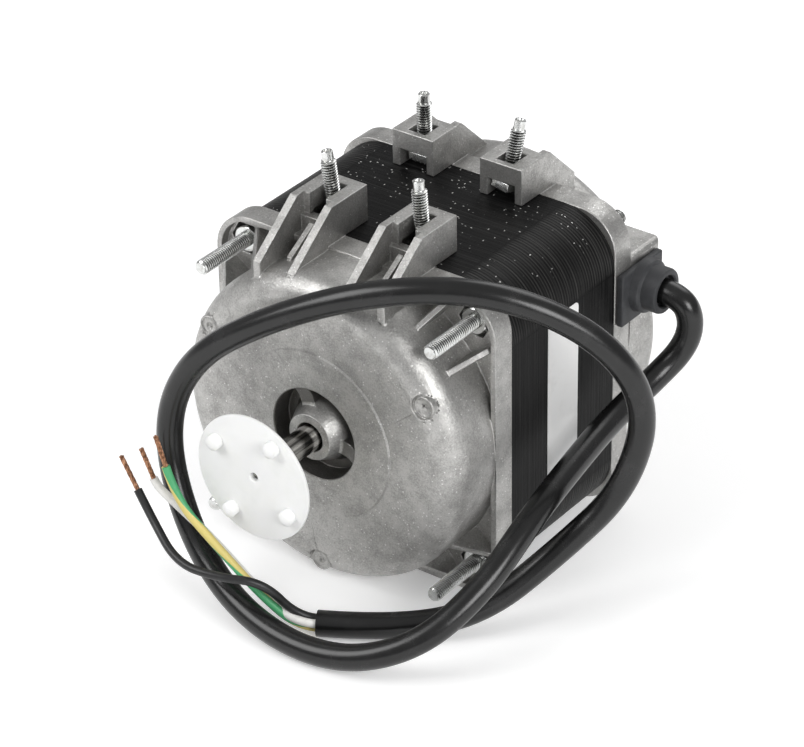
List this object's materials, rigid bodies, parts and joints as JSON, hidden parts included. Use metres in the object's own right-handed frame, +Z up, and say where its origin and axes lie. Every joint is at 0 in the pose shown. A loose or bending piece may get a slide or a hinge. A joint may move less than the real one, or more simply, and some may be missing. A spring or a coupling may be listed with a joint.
{
  "type": "condenser fan motor",
  "caption": "Shaded-pole condenser fan motor: square lamination stack between die-cast end bells, base studs, a fan hub disc and a looped supply cord with bared cores.",
  "frame": {"origin": "on the shaft axis, in the plane of the outer faces of the front nuts, the centre of the front studs", "axes": "-Y along the shaft out of the front end, +Z up through the base studs, +X to the cable side"},
  "size_m": [0.1212, 0.1307, 0.1063],
  "materials": {
    "die_cast": "as cast, matte and grainy",
    "laminations": "black stoving paint over pressed laminations",
    "rotor_laminations": "turned lamination steel",
    "cage_aluminium": "cast",
    "shaft_steel": "ground",
    "zinc_steel": "bright zinc plating",
    "sintered_bronze": "oil-soaked sintered bronze",
    "felt": "oil-soaked wool felt",
    "nylon": "milky, slightly translucent",
    "former_plastic": "moulded",
    "enamelled_copper": "enamelled winding wire",
    "bare_copper": "bright strands",
    "fibre": "hard fibre",
    "grommet_rubber": "matte",
    "cord_rubber": "satin, soft long highlights",
    "core_black": "satin",
    "core_white": "satin",
    "core_green": "green with a yellow stripe",
    "label_paper": "blank"
  },
  "bodies": {
    "stator": {"front_end_bell": "die_cast", "rear_end_bell": "die_cast", "stator_stack": "laminations", "tie_rods": "zinc_steel", "tie_rod_nuts": "zinc_steel", "base_studs": "zinc_steel", "cable_grommet": "grommet_rubber", "rating_label": "label_paper", "power_cord": "cord_rubber", "black_core": "core_black", "white_core": "core_white", "green_yellow_core": "core_green", "black_core_copper": "bare_copper", "white_core_copper": "bare_copper", "green_yellow_core_copper": "bare_copper", "front_bearing": "sintered_bronze", "front_oil_felt": "felt", "front_bearing_retainer": "zinc_steel", "rear_bearing": "sintered_bronze", "rear_oil_felt": "felt", "rear_bearing_retainer": "zinc_steel", "coil_1": "enamelled_copper", "coil_former_1": "former_plastic", "shading_ring_1": "bare_copper", "coil_2": "enamelled_copper", "coil_former_2": "former_plastic", "shading_ring_2": "bare_copper", "coil_3": "enamelled_copper", "coil_former_3": "former_plastic", "shading_ring_3": "bare_copper", "coil_4": "enamelled_copper", "coil_former_4": "former_plastic", "shading_ring_4": "bare_copper"},
    "rotor": {"shaft": "shaft_steel", "rotor_core": "rotor_laminations", "rotor_cage": "cage_aluminium", "hub_disc": "nylon", "front_spacer": "shaft_steel", "rear_spacer": "shaft_steel", "front_thrust_washer": "fibre", "rear_thrust_washer": "fibre"}
  },
  "joints": [
    {"name": "rotor_spin", "type": "hinge", "parent": "stator", "child": "rotor", "pos_m": [0, 0, 0], "axis": [0, -1, 0], "continuous": true}
  ]
}
